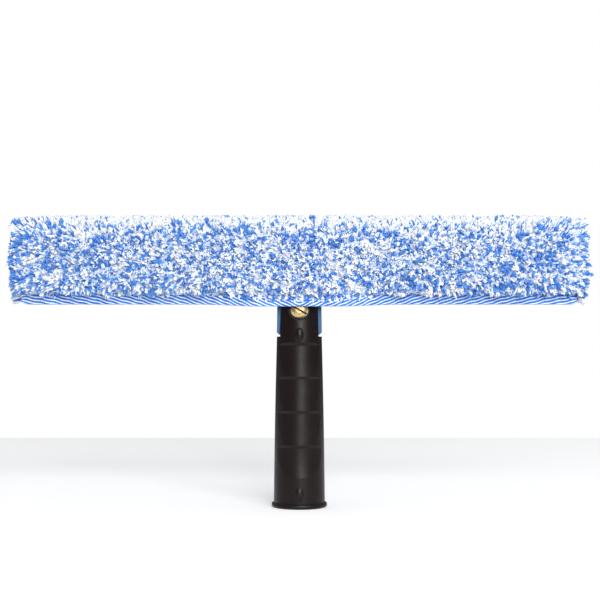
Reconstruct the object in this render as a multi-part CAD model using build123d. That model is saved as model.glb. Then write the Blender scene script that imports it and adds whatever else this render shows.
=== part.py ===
"""Window washer: a T-bar head in a microfibre pile sleeve, swivelling on a hand-held pole socket.

The head carries an aluminium crossbar in a moulded hub. The hub's tongue turns between the two ears of the
handle on one slotted brass screw, whose nut and wave washer set how stiffly it turns.

Frame, in millimetres: +Z up, the handle standing on its rim at Z 0 with its axis on Z, the crossbar along X,
and the screw's head at the front, which is -Y.
"""

from build123d import *
from math import cos, hypot, radians, sqrt
import os

# ---- handle -------------------------------------------------------------------------------------------------
HANDLE_LENGTH = 105.0          # foot to shoulder
FOOT_DIAMETER = 31.6           # grip just above its rim
SHOULDER_DIAMETER = 27.8       # grip at the shoulder
NECK_WIDTH = 23.8              # across the flats at the shoulder
NECK_TAPER = 1.0               # how much narrower the neck is at the pivot
EAR_DEPTH = 25.2               # front to back over both ears, at the pivot
PIVOT_RISE = 16.7              # pivot above the shoulder
RIM_PROUD = 1.1                # rim beyond the grip
RIM_HEIGHT = 3.0
SOCKET_DIAMETER = 22.2         # straight bore for a pole tip
SOCKET_DEPTH = 88.0
SOCKET_LEAD_IN = 0.8
GRIP_BELLY = 0.2               # how far the grip's side bows out beyond a straight taper
GRIP_WAVES = 4                 # shallow finger hollows down the front and the back, like laid scales
WAVE_START = 18.0              # lowest ridge between hollows
WAVE_DEPTH = 0.9
WAVE_STEEP_SHARE = 0.07        # share of each hollow that is its steep upper end
WAVE_ROUND = 3.0               # rounding at the bottom of each hollow
WAVE_SPREAD = 62.0             # degrees round the grip, each way, that a hollow reaches where it is deepest
RIDGE_DEPTH = 0.3              # ridges below the skin, so that the hollows run into each other
ROW_OVERRUN = 0.1              # ends of the row of hollows, outside the skin
NUB_WIDTH = 5.6                # two raised ovals on the front, at the shoulder and above the rim
NUB_HEIGHT = 10.0
NUB_PROUD = 0.9
NUB_ROOT = 0.8                 # how deep each oval's middle lies under the skin
EDGE_BREAK = 0.5               # small rounding on moulded edges

# ---- pivot --------------------------------------------------------------------------------------------------
SCREW_DIAMETER = 6.0
SCREW_HEAD_DIAMETER = 10.4
SCREW_HEAD_HEIGHT = 3.2
SCREW_FLAT_DIAMETER = 3.6      # level middle of the crown
SCREW_CROWN_DROP = 1.1         # crown's middle above its edge
SCREW_SLOT_WIDTH = 1.1
SCREW_SLOT_DEPTH = 1.5
SCREW_SLOT_ANGLE = -30.0       # degrees from level, seen from the front
HEAD_POCKET_DIAMETER = 13.2
HEAD_POCKET_DEPTH = 4.2
WAVE_WASHER_THICK = 0.8
WAVE_WASHER_DIAMETER = 10.8
NUT_ACROSS_FLATS = 10.0
NUT_THICK = 4.2
NUT_POCKET_DEPTH = 4.8
TONGUE_THICK = 8.6
FRICTION_WASHER_THICK = 0.5
FRICTION_WASHER_DIAMETER = 18.0
BUSH_DIAMETER = 9.0
RUNNING_CLEARANCE = 0.05       # radial, screw in bush and in nut
LOOSE_CLEARANCE = 0.25         # radial or each side, parts that only pass each other
TONGUE_GAP = 0.1               # between each friction washer and the tongue
SWING_CLEARANCE = 0.8          # tongue corners to the bottom of the slot

# ---- hub and crossbar ---------------------------------------------------------------------------------------
TONGUE_TOP_WIDTH = 26.6        # tongue where it meets the collar
TONGUE_FOOT_WIDTH = 27.8       # tongue at its lower end
TONGUE_DROP = 15.4             # tongue below the pivot
COLLAR_LENGTH = 48.0
COLLAR_WALL = 2.3
COLLAR_OVER_EARS = 0.5         # running gap between the collar and the round ear tips
CROSSBAR_LENGTH = 336.0
CROSSBAR_HEIGHT = 31.0
CROSSBAR_THICK = 14.0
CROSSBAR_WALL = 1.5
DRAIN_HOLE_DIAMETER = 8.0
DRAIN_HOLE_PITCH = 19.0
DRAIN_HOLES_PER_SIDE = 7
END_CAP_FLANGE = 3.0
END_CAP_PLUG = 12.0
RIVET_DIAMETER = 4.0
RIVET_HEAD_DIAMETER = 7.0
RIVET_HEAD_THICK = 1.6
RIVET_SPACING = 34.0

# ---- sleeve -------------------------------------------------------------------------------------------------
BACKING_THICK = 1.2            # knitted ground cloth
PILE_LENGTH = 9.3              # tufts standing off the cloth
END_PILE_LENGTH = 7.4          # tufts on the sleeve's ends
SLEEVE_SLACK = 0.4             # cloth to what it wraps
HEM_HEIGHT = 6.0
HEM_THICK = 2.4
HEM_GAP = 2.5                  # between the two hems, filled by the hook and loop strips
HEM_PILE = 3.2                 # pile left where the cloth runs into its hem
NECK_OPENING = 46.0            # length of the mouth that the neck passes through
MOUTH_RUN = 39.0               # length over which the mouth closes, each side
MOUTH_CLEARANCE = 0.7          # hem to neck, front and back
STRIP_INSET = 2.0              # hook and loop strips short of the hem ends
END_PILE_INSET = 5.0           # rounding of the pile at the sleeve's ends
KNEE_RISE = 6.5                # where the sides turn in to the mouth, above the collar's underside
BELLY_STEP = 1.0               # how far the sides always stand out beyond the mouth

# ---- places worked out from those ---------------------------------------------------------------------------
PIVOT_Z = HANDLE_LENGTH + PIVOT_RISE
EAR_RADIUS = (NECK_WIDTH - NECK_TAPER) / 2
SLOT_RADIUS = hypot(NECK_WIDTH / 2, PIVOT_RISE)
TONGUE_RADIUS = SLOT_RADIUS - SWING_CLEARANCE
SLOT_WIDTH = TONGUE_THICK + 2 * (FRICTION_WASHER_THICK + TONGUE_GAP)
EAR_FACE_Y = EAR_DEPTH / 2
HEAD_SEAT_Y = -(EAR_FACE_Y - HEAD_POCKET_DEPTH)
NUT_SEAT_Y = EAR_FACE_Y - NUT_POCKET_DEPTH
COLLAR_UNDER_Z = PIVOT_Z + EAR_RADIUS + COLLAR_OVER_EARS
BAR_UNDER_Z = COLLAR_UNDER_Z + COLLAR_WALL
BAR_MID_Z = BAR_UNDER_Z + CROSSBAR_HEIGHT / 2
COLLAR_TOP_Z = BAR_UNDER_Z + CROSSBAR_HEIGHT + COLLAR_WALL
COLLAR_HALF_THICK = CROSSBAR_THICK / 2 + COLLAR_WALL
CLOTH_INNER_Y = COLLAR_HALF_THICK + SLEEVE_SLACK
CLOTH_TOP_Z = COLLAR_TOP_Z + SLEEVE_SLACK
SLEEVE_HALF_THICK = CLOTH_INNER_Y + BACKING_THICK + PILE_LENGTH
SLEEVE_TOP_Z = CLOTH_TOP_Z + BACKING_THICK + PILE_LENGTH
HEM_TOP_Z = PIVOT_Z + 8.9
HEM_UNDER_Z = HEM_TOP_Z - HEM_HEIGHT
CLOTH_END_X = CROSSBAR_LENGTH / 2 + END_CAP_FLANGE + SLEEVE_SLACK
SLEEVE_END_X = CLOTH_END_X + BACKING_THICK + END_PILE_LENGTH
LOW_NUB_Z = RIM_HEIGHT + 0.6 * NUB_HEIGHT
HIGH_NUB_Z = HANDLE_LENGTH + 0.1 * NUB_HEIGHT
WAVE_PITCH = (HANDLE_LENGTH - 0.3 * NUB_HEIGHT - WAVE_START) / GRIP_WAVES
GRIP_MEAN = (FOOT_DIAMETER + SHOULDER_DIAMETER) / 4
WAVE_AXIS_SHIFT = WAVE_DEPTH * (GRIP_MEAN - WAVE_DEPTH / 2) / (
    GRIP_MEAN * (1 - cos(radians(WAVE_SPREAD))) - WAVE_DEPTH
)
MOUTH_HALF_DEPTH = EAR_FACE_Y + (SHOULDER_DIAMETER / 2 - EAR_FACE_Y) / 2 + MOUTH_CLEARANCE


def along_y(shape_xz, y_low, y_high):
    """Extrudes a sketch drawn on the XZ plane from y_low to y_high."""
    thick = y_high - y_low
    return Pos(0, y_high, 0) * extrude(Plane.XZ * shape_xz, thick)


def rod_y(diameter, y_low, y_high, x=0.0, z=0.0):
    """A round bar along Y."""
    return Pos(x, 0, z) * along_y(Circle(diameter / 2), y_low, y_high)


# ---- handle -------------------------------------------------------------------------------------------------
def grip_skin(z):
    """Radius of the grip at z, with its belly, and straight on above the shoulder."""
    share = min((z - RIM_HEIGHT) / (HANDLE_LENGTH - RIM_HEIGHT), 1.0)
    straight = FOOT_DIAMETER / 2 + share * (SHOULDER_DIAMETER - FOOT_DIAMETER) / 2
    return straight + 4 * GRIP_BELLY * share * (1 - share)


def handle_body():
    """Turned outside of the grip: rim, tapering grip, neck and domed ear tips."""
    foot = FOOT_DIAMETER / 2
    rim = foot + RIM_PROUD
    shoulder = SHOULDER_DIAMETER / 2
    ear = EAR_FACE_Y
    top = PIVOT_Z + EAR_RADIUS
    dome = ear * 0.86
    middle = (RIM_HEIGHT + HANDLE_LENGTH) / 2
    with BuildSketch(Plane.XZ) as profile:
        with BuildLine():
            Line((0, 0), (rim - EDGE_BREAK, 0))
            ThreePointArc(
                (rim - EDGE_BREAK, 0),
                (rim + EDGE_BREAK / 2, RIM_HEIGHT / 2),
                (rim - EDGE_BREAK, RIM_HEIGHT),
            )
            Line((rim - EDGE_BREAK, RIM_HEIGHT), (foot, RIM_HEIGHT))
            ThreePointArc((foot, RIM_HEIGHT), (grip_skin(middle), middle), (shoulder, HANDLE_LENGTH))
            Line((shoulder, HANDLE_LENGTH), (ear, PIVOT_Z))
            ThreePointArc((ear, PIVOT_Z), ((ear + dome) / 2 + 0.35, (PIVOT_Z + top) / 2), (dome, top))
            Line((dome, top), (0, top))
            Line((0, top), (0, 0))
        make_face()
    return revolve(profile.sketch, Axis.Z)


def handle_outline():
    """Front view of the handle: the full grip up to the shoulder, and the narrower, round-topped neck."""
    wide = FOOT_DIAMETER
    half_low = NECK_WIDTH / 2
    neck = Polyline(
        (-half_low, HANDLE_LENGTH - 1),
        (half_low, HANDLE_LENGTH - 1),
        (EAR_RADIUS, PIVOT_Z),
        (-EAR_RADIUS, PIVOT_Z),
        close=True,
    )
    grip = Pos(0, (HANDLE_LENGTH - 1) / 2) * Rectangle(2 * wide, HANDLE_LENGTH + 1)
    return grip + make_face(neck) + Pos(0, PIVOT_Z) * Circle(EAR_RADIUS)


def wave_cutter(side):
    """Ring set off the grip's axis, so that its waved inside cuts one side only; side is -1 or 1.

    Each hollow sweeps out downwards from a steep upper end, and fades out round the grip.
    """
    hollow = (1 - WAVE_STEEP_SHARE) * WAVE_PITCH
    outer = 2 * FOOT_DIAMETER

    def place(z, depth):
        return (grip_skin(z) - depth + WAVE_AXIS_SHIFT, z)

    def ridge(n):
        depth = RIDGE_DEPTH if 0 < n < GRIP_WAVES else -ROW_OVERRUN
        return place(WAVE_START + n * WAVE_PITCH, depth)

    floors = [place(WAVE_START + n * WAVE_PITCH + hollow, WAVE_DEPTH) for n in range(GRIP_WAVES)]
    low, high = ridge(0), ridge(GRIP_WAVES)
    with BuildSketch() as bar:
        with BuildLine():
            for n, floor in enumerate(floors):
                middle = place(floor[1] - hollow / 2, 0.75 * WAVE_DEPTH)
                ThreePointArc(ridge(n), middle, floor)
                Line(floor, ridge(n + 1))
            Polyline(high, (outer, high[1]), (outer, low[1]), low)
        make_face()
        corners = [corner for corner in bar.vertices() if any(abs(corner.Y - z) < 0.01 for _, z in floors)]
        fillet(corners, WAVE_ROUND)
    ring = revolve(Plane.XZ * bar.sketch, Axis.Z)
    return Pos(0, -side * WAVE_AXIS_SHIFT, 0) * ring


def grip_nubs():
    """The two small upright ovals that stand out of the front of the grip."""
    nubs = []
    for z in (LOW_NUB_Z, HIGH_NUB_Z):
        oval = scale(Sphere(1), (NUB_WIDTH / 2, NUB_PROUD + NUB_ROOT, NUB_HEIGHT / 2))
        nubs.append(Pos(0, NUB_ROOT - grip_skin(z), z) * oval)
    return nubs


def make_handle():
    body = handle_body() & along_y(handle_outline(), -FOOT_DIAMETER, FOOT_DIAMETER)
    for side in (-1, 1):
        body -= wave_cutter(side)
    for nub in grip_nubs():
        body += nub
    bore = Pos(0, 0, SOCKET_DEPTH / 2) * Cylinder(SOCKET_DIAMETER / 2, SOCKET_DEPTH)
    lead = Pos(0, 0, SOCKET_LEAD_IN / 2) * Cone(
        SOCKET_DIAMETER / 2 + SOCKET_LEAD_IN, SOCKET_DIAMETER / 2, SOCKET_LEAD_IN
    )
    body -= bore
    body -= lead
    body -= rod_y(2 * SLOT_RADIUS, -SLOT_WIDTH / 2, SLOT_WIDTH / 2, z=PIVOT_Z)
    body -= rod_y(SCREW_DIAMETER + 2 * LOOSE_CLEARANCE, -FOOT_DIAMETER, FOOT_DIAMETER, z=PIVOT_Z)
    body -= rod_y(HEAD_POCKET_DIAMETER, -FOOT_DIAMETER, HEAD_SEAT_Y, z=PIVOT_Z)
    hexagon = RegularPolygon((NUT_ACROSS_FLATS / 2 + LOOSE_CLEARANCE / 2), 6, major_radius=False)
    body -= Pos(0, 0, PIVOT_Z) * along_y(hexagon, NUT_SEAT_Y, FOOT_DIAMETER)
    return body


# ---- pivot --------------------------------------------------------------------------------------------------
def make_pivot_screw():
    """Slotted cheese-head screw with a low crown, from its crown at the front to its end in the nut."""
    seat = HEAD_SEAT_Y - WAVE_WASHER_THICK
    crown = seat - SCREW_HEAD_HEIGHT
    half = SCREW_HEAD_DIAMETER / 2
    with BuildSketch() as section:
        with BuildLine():
            tip = NUT_SEAT_Y + NUT_THICK
            flat = (SCREW_FLAT_DIAMETER / 2, crown)
            edge = (half, crown + SCREW_CROWN_DROP)
            Line((0, crown), flat)
            TangentArc(flat, edge, tangent=(1, 0))
            Line(edge, (half, seat))
            Line((half, seat), (SCREW_DIAMETER / 2, seat))
            Line((SCREW_DIAMETER / 2, seat), (SCREW_DIAMETER / 2, tip - EDGE_BREAK))
            Line((SCREW_DIAMETER / 2, tip - EDGE_BREAK), (SCREW_DIAMETER / 2 - EDGE_BREAK, tip))
            Line((SCREW_DIAMETER / 2 - EDGE_BREAK, tip), (0, tip))
            Line((0, tip), (0, crown))
        make_face()
    screw = revolve(section.sketch, Axis.Y)
    slot = Pos(0, crown, 0) * Rot(0, -SCREW_SLOT_ANGLE, 0) * Box(
        2 * SCREW_HEAD_DIAMETER, 2 * SCREW_SLOT_DEPTH, SCREW_SLOT_WIDTH
    )
    return Pos(0, 0, PIVOT_Z) * (screw - slot)


def make_wave_washer():
    """Steel washer under the screw's head, drawn flat as it is when tightened."""
    ring = rod_y(WAVE_WASHER_DIAMETER, HEAD_SEAT_Y - WAVE_WASHER_THICK, HEAD_SEAT_Y, z=PIVOT_Z)
    return ring - rod_y(SCREW_DIAMETER + 2 * LOOSE_CLEARANCE, -FOOT_DIAMETER, 0, z=PIVOT_Z)


def make_pivot_nut():
    hexagon = RegularPolygon(NUT_ACROSS_FLATS / 2, 6, major_radius=False)
    nut = Pos(0, 0, PIVOT_Z) * along_y(hexagon, NUT_SEAT_Y, NUT_SEAT_Y + NUT_THICK)
    bevel = NUT_ACROSS_FLATS * 0.14
    cone = Cone(NUT_ACROSS_FLATS / 2 + 2 * bevel, NUT_ACROSS_FLATS / 2, bevel)
    trim_height = NUT_THICK - bevel
    trim = Pos(0, 0, trim_height / 2) * Cylinder(NUT_ACROSS_FLATS, trim_height)
    trim += Pos(0, 0, trim_height + bevel / 2) * cone
    nut &= Pos(0, NUT_SEAT_Y, PIVOT_Z) * Rot(-90, 0, 0) * trim
    hole = rod_y(SCREW_DIAMETER + 2 * RUNNING_CLEARANCE, 0, FOOT_DIAMETER, z=PIVOT_Z)
    return nut - hole


def make_friction_washers():
    """The two nylon discs that the tongue turns between."""
    hole = rod_y(SCREW_DIAMETER + 2 * LOOSE_CLEARANCE, -SLOT_WIDTH, SLOT_WIDTH, z=PIVOT_Z)
    discs = []
    for side in (-1, 1):
        inner = side * (SLOT_WIDTH / 2 - FRICTION_WASHER_THICK)
        outer = side * SLOT_WIDTH / 2
        disc = rod_y(FRICTION_WASHER_DIAMETER, min(inner, outer), max(inner, outer), z=PIVOT_Z)
        discs.append(disc - hole)
    return Compound(children=discs)


def make_pivot_bush():
    bush = rod_y(BUSH_DIAMETER, -TONGUE_THICK / 2, TONGUE_THICK / 2, z=PIVOT_Z)
    hole = rod_y(SCREW_DIAMETER + 2 * RUNNING_CLEARANCE, -TONGUE_THICK, TONGUE_THICK, z=PIVOT_Z)
    return bush - hole


# ---- hub and crossbar ---------------------------------------------------------------------------------------
def bar_section(grow=0.0):
    """The crossbar's flat oval, drawn on YZ about its own middle and grown by a clearance."""
    return SlotOverall(CROSSBAR_HEIGHT + 2 * grow, CROSSBAR_THICK + 2 * grow, rotation=90)


def along_x(section_yz, x_low, x_high, z=0.0):
    """Extrudes a sketch drawn on the YZ plane from x_low to x_high."""
    return Pos(x_low, 0, z) * extrude(Plane.YZ * section_yz, x_high - x_low)


def make_swivel_hub():
    """Tongue below, collar round the crossbar above, in one moulding."""
    foot = TONGUE_FOOT_WIDTH / 2
    top = TONGUE_TOP_WIDTH / 2
    tongue = make_face(
        Polyline(
            (-foot, PIVOT_Z - TONGUE_DROP),
            (foot, PIVOT_Z - TONGUE_DROP),
            (top, BAR_UNDER_Z + CROSSBAR_THICK / 2),
            (-top, BAR_UNDER_Z + CROSSBAR_THICK / 2),
            close=True,
        )
    )
    above = Pos(0, PIVOT_Z + TONGUE_RADIUS) * Rectangle(4 * TONGUE_RADIUS, 2 * TONGUE_RADIUS)
    tongue &= Pos(0, PIVOT_Z) * Circle(TONGUE_RADIUS) + above
    hub = along_y(tongue, -TONGUE_THICK / 2, TONGUE_THICK / 2)
    hub += along_x(bar_section(COLLAR_WALL), -COLLAR_LENGTH / 2, COLLAR_LENGTH / 2, BAR_MID_Z)
    hub -= along_x(bar_section(), -COLLAR_LENGTH, COLLAR_LENGTH, BAR_MID_Z)
    hub -= rod_y(BUSH_DIAMETER, -TONGUE_THICK, TONGUE_THICK, z=PIVOT_Z)
    for rivet in rivet_solids():
        hub -= rivet
    return hub


def rivet_solids():
    """Flush rivets through the collar and the crossbar, one each side of the neck."""
    half = COLLAR_HALF_THICK
    shank = RIVET_DIAMETER / 2
    head = RIVET_HEAD_DIAMETER / 2
    with BuildSketch() as section:
        Polygon(
            (0, -half),
            (head, -half),
            (shank, -half + RIVET_HEAD_THICK),
            (shank, half - RIVET_HEAD_THICK),
            (head, half),
            (0, half),
            align=None,
        )
    rivet = revolve(section.sketch, Axis.Y)
    return [Pos(side * RIVET_SPACING / 2, 0, BAR_MID_Z) * rivet for side in (-1, 1)]


def make_hub_rivets():
    return Compound(children=rivet_solids())


def drain_hole_places():
    """X of every drain hole: a row each side, clear of the collar."""
    first = COLLAR_LENGTH / 2 + DRAIN_HOLE_PITCH
    return [side * (first + n * DRAIN_HOLE_PITCH) for side in (-1, 1) for n in range(DRAIN_HOLES_PER_SIDE)]


def make_crossbar():
    half = CROSSBAR_LENGTH / 2
    bar = along_x(bar_section(), -half, half, BAR_MID_Z)
    bar -= along_x(bar_section(-CROSSBAR_WALL), -half, half, BAR_MID_Z)
    for x in drain_hole_places():
        bar -= rod_y(DRAIN_HOLE_DIAMETER, -CROSSBAR_THICK, CROSSBAR_THICK, x=x, z=BAR_MID_Z)
    for rivet in rivet_solids():
        bar -= rivet
    return bar


def make_end_cap(side):
    """Flanged plug in one end of the crossbar; side is -1 or 1."""
    end = CROSSBAR_LENGTH / 2
    plug = along_x(bar_section(-CROSSBAR_WALL), end - END_CAP_PLUG, end, BAR_MID_Z)
    core = along_x(bar_section(-2 * CROSSBAR_WALL), end - END_CAP_PLUG, end, BAR_MID_Z)
    flange = along_x(bar_section(), end, end + END_CAP_FLANGE, BAR_MID_Z)
    flange = fillet(flange.faces().sort_by(Axis.X)[-1].edges(), END_CAP_FLANGE * 0.6)
    cap = plug - core + flange
    return cap if side > 0 else mirror(cap, Plane.YZ)


# ---- sleeve -------------------------------------------------------------------------------------------------
def shell_outline(x, half, mouth_half, top):
    """Closed outline on YZ at x: flat or bellied sides down to the mouth, and a rounded top."""
    knee = COLLAR_UNDER_Z + KNEE_RISE
    hip = BAR_MID_Z + CROSSBAR_HEIGHT / 2 - CROSSBAR_THICK / 2
    belly = max(half, mouth_half + BELLY_STEP)
    crown_y = 0.72 * half
    crown_z = hip + 0.74 * (top - hip)
    points = [
        Vector(x, -half, hip),
        Vector(x, -belly, knee),
        Vector(x, -mouth_half, HEM_TOP_Z),
        Vector(x, mouth_half, HEM_TOP_Z),
        Vector(x, belly, knee),
        Vector(x, half, hip),
    ]
    sides = [Edge.make_line(a, b) for a, b in zip(points, points[1:])]
    peak = Vector(x, 0, top)
    crown = [
        Edge.make_three_point_arc(points[-1], Vector(x, crown_y, crown_z), peak),
        Edge.make_three_point_arc(peak, Vector(x, -crown_y, crown_z), points[0]),
    ]
    return Wire(sides + crown)


def make_sleeve_panel():
    """The pile cloth, folded over the crossbar, with a mouth at the bottom for the neck."""
    closed = HEM_GAP / 2
    wide = MOUTH_HALF_DEPTH
    open_x = NECK_OPENING / 2
    shut_x = open_x + MOUTH_RUN
    stations = [
        (CLOTH_END_X, closed),
        (shut_x, closed),
        ((open_x + shut_x) / 2, (closed + wide) / 2),
        (open_x, wide),
    ]
    places = [(-x, mouth) for x, mouth in stations] + [(x, mouth) for x, mouth in reversed(stations)]
    skin = BACKING_THICK + HEM_PILE
    outside = [shell_outline(x, SLEEVE_HALF_THICK, mouth + skin, SLEEVE_TOP_Z) for x, mouth in places]
    inside = [shell_outline(x, CLOTH_INNER_Y, mouth, CLOTH_TOP_Z) for x, mouth in places]
    return Solid.make_loft(outside, True) - Solid.make_loft(inside, True)


def make_sleeve_end(side):
    """Sewn-in end of the sleeve, with its own pile; side is -1 or 1."""
    low = HEM_GAP / 2 + BACKING_THICK + HEM_PILE
    rings = []
    for x, inset in (
        (CLOTH_END_X, 0.0),
        (SLEEVE_END_X - END_PILE_INSET, END_PILE_INSET * 0.3),
        (SLEEVE_END_X, END_PILE_INSET),
    ):
        rings.append(
            shell_outline(side * x, SLEEVE_HALF_THICK - inset, low - 0.4 * inset, SLEEVE_TOP_Z - inset)
        )
    return Solid.make_loft(rings, True)


def hem_path(side):
    """Middle line of one hem, seen from above: straight, swinging out round the neck, and straight again."""
    near = side * (HEM_GAP / 2 + HEM_THICK / 2)
    far = side * (MOUTH_HALF_DEPTH + HEM_THICK / 2)
    shift = abs(far - near)
    half_run = MOUTH_RUN / 2
    radius = (MOUTH_RUN**2 + shift**2) / (4 * shift)
    open_x = NECK_OPENING / 2
    mid_y = (near + far) / 2
    sag = radius - sqrt(radius**2 - (half_run / 2) ** 2)
    lines = []

    def swing(x_far, x_near):
        quarter = (x_near - x_far) / 4
        first = ThreePointArc((x_far, far), (x_far + quarter, far - side * sag), (x_far + 2 * quarter, mid_y))
        second = ThreePointArc(
            (x_far + 2 * quarter, mid_y), (x_far + 3 * quarter, near + side * sag), (x_near, near)
        )
        return [first, second]

    end_x = CLOTH_END_X
    lines.append(Line((-end_x, near), (-open_x - MOUTH_RUN, near)))
    lines += swing(-open_x, -open_x - MOUTH_RUN)
    lines.append(Line((-open_x, far), (open_x, far)))
    lines += swing(open_x, open_x + MOUTH_RUN)
    lines.append(Line((open_x + MOUTH_RUN, near), (end_x, near)))
    return Wire(lines)


def make_hem(side):
    """Bound lower edge of the cloth; side is -1 at the front and 1 at the back."""
    path = Pos(0, 0, HEM_UNDER_Z + HEM_HEIGHT / 2) * hem_path(side)
    start = path @ 0
    section = Plane(origin=start, x_dir=(0, 1, 0), z_dir=path % 0) * RectangleRounded(
        HEM_THICK, HEM_HEIGHT, HEM_THICK * 0.35
    )
    return sweep(section, path=path)


def make_strip(x_side, y_side):
    """One hook or loop strip between the hems; it fills its half of the gap."""
    low = NECK_OPENING / 2 + MOUTH_RUN + STRIP_INSET
    high = CLOTH_END_X - STRIP_INSET
    thick = HEM_GAP / 2
    height = HEM_HEIGHT - 2 * EDGE_BREAK
    strip = Box(high - low, thick, height)
    return Pos(x_side * (low + high) / 2, y_side * thick / 2, HEM_UNDER_Z + HEM_HEIGHT / 2) * strip


def build():
    """Every node, by name."""
    return {
        "handle": make_handle(),
        "wave_washer": make_wave_washer(),
        "pivot_nut": make_pivot_nut(),
        "friction_washers": make_friction_washers(),
        "pivot_screw": make_pivot_screw(),
        "swivel_hub": make_swivel_hub(),
        "pivot_bush": make_pivot_bush(),
        "hub_rivets": make_hub_rivets(),
        "crossbar": make_crossbar(),
        "end_cap_left": make_end_cap(-1),
        "end_cap_right": make_end_cap(1),
        "sleeve_panel": make_sleeve_panel(),
        "sleeve_end_left": make_sleeve_end(-1),
        "sleeve_end_right": make_sleeve_end(1),
        "hem_front": make_hem(-1),
        "hem_back": make_hem(1),
        "loop_strip_left": make_strip(-1, -1),
        "hook_strip_left": make_strip(-1, 1),
        "loop_strip_right": make_strip(1, -1),
        "hook_strip_right": make_strip(1, 1),
    }


os.makedirs("parts", exist_ok=True)
for name, shape in build().items():
    export_step(shape, f"parts/{name}.step")
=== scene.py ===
"""Looks of the window washer: a blue and white pile sleeve on a swivelling T-bar with a black handle."""

import logging
from dataclasses import dataclass, field
from enum import Enum
from math import cos, pi, radians, sin, tan

import bpy
import numpy as np
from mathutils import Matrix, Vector


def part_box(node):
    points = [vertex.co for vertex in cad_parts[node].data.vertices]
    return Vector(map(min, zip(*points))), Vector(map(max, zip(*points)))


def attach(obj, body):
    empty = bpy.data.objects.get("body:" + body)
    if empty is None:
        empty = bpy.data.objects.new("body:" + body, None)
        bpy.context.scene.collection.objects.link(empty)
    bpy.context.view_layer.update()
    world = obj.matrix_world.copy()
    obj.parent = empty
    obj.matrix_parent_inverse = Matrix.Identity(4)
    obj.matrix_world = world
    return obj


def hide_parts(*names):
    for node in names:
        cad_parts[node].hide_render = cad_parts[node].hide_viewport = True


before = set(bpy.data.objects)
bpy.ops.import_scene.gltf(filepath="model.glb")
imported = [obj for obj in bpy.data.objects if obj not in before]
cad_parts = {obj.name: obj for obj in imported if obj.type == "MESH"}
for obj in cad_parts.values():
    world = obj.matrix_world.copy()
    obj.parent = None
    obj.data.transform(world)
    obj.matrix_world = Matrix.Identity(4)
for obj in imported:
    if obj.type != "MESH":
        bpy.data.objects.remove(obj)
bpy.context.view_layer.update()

MM = 0.001
BAKE_MAP = "OFBake"
CLOTH_MAP = "cloth"
LOG = logging.getLogger("washer")

Colour = tuple[float, float, float]
Triple = tuple[float, float, float]


def tint(red: int, green: int, blue: int) -> Colour:
    """Turns a colour as it looks on a screen into the linear values that shaders work in.

    Args:
        red: Red from 0 to 255.
        green: Green from 0 to 255.
        blue: Blue from 0 to 255.

    Returns:
        The three linear values, from 0 to 1.
    """
    parts = []
    for value in (red, green, blue):
        share = value / 255
        parts.append(share / 12.92 if share <= 0.04045 else ((share + 0.055) / 1.055) ** 2.4)
    return (parts[0], parts[1], parts[2])


def smooth(values: np.ndarray, low: float, high: float) -> np.ndarray:
    """Rises smoothly from 0 at low to 1 at high.

    Args:
        values: Where to read the curve.
        low: Where it starts to rise.
        high: Where it has risen; it may be below low, and the curve then falls.

    Returns:
        The curve's height at each value.
    """
    t = np.clip((values - low) / (high - low), 0, 1)
    return t * t * (3 - 2 * t)


class Side(Enum):
    """Which way along an axis a piece lies."""

    LOW = -1
    HIGH = 1


# ---- shaders -------------------------------------------------------------------------------------
class Sock:
    """A shader value. Arithmetic on it adds Math nodes to the material it belongs to."""

    def __init__(self, tree: "Tree", socket: bpy.types.NodeSocket) -> None:
        """Wraps a node's output socket.

        Args:
            tree: The material's tree.
            socket: The output that holds the value.
        """
        self.tree = tree
        self.socket = socket

    def maths(self, operation: str, *values: "Sock | float") -> "Sock":
        """Adds one Math node.

        Args:
            operation: The Math node's operation.
            values: Its inputs, in order.

        Returns:
            The node's output.
        """
        return self.tree.add("ShaderNodeMath", {"operation": operation}, dict(enumerate(values)))

    def __add__(self, other: "Sock | float") -> "Sock":
        """Adds a value."""
        return self.maths("ADD", self, other)

    def __radd__(self, other: "Sock | float") -> "Sock":
        """Adds to a value."""
        return self.maths("ADD", other, self)

    def __sub__(self, other: "Sock | float") -> "Sock":
        """Takes a value away."""
        return self.maths("SUBTRACT", self, other)

    def __rsub__(self, other: "Sock | float") -> "Sock":
        """Takes this away from a value."""
        return self.maths("SUBTRACT", other, self)

    def __mul__(self, other: "Sock | float") -> "Sock":
        """Multiplies by a value."""
        return self.maths("MULTIPLY", self, other)

    def __rmul__(self, other: "Sock | float") -> "Sock":
        """Multiplies a value."""
        return self.maths("MULTIPLY", other, self)

    def sine(self) -> "Sock":
        """The sine of this, in radians."""
        return self.maths("SINE", self)

    def size(self) -> "Sock":
        """This without its sign."""
        return self.maths("ABSOLUTE", self)

    def between(self, low: float, high: float) -> "Sock":
        """Maps low to 0 and high to 1 smoothly, and holds the value there outside them.

        Args:
            low: The value that becomes 0.
            high: The value that becomes 1.

        Returns:
            The mapped value.
        """
        settings = {"interpolation_type": "SMOOTHSTEP"}
        return self.tree.add("ShaderNodeMapRange", settings, {0: self, 1: low, 2: high})


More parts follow.
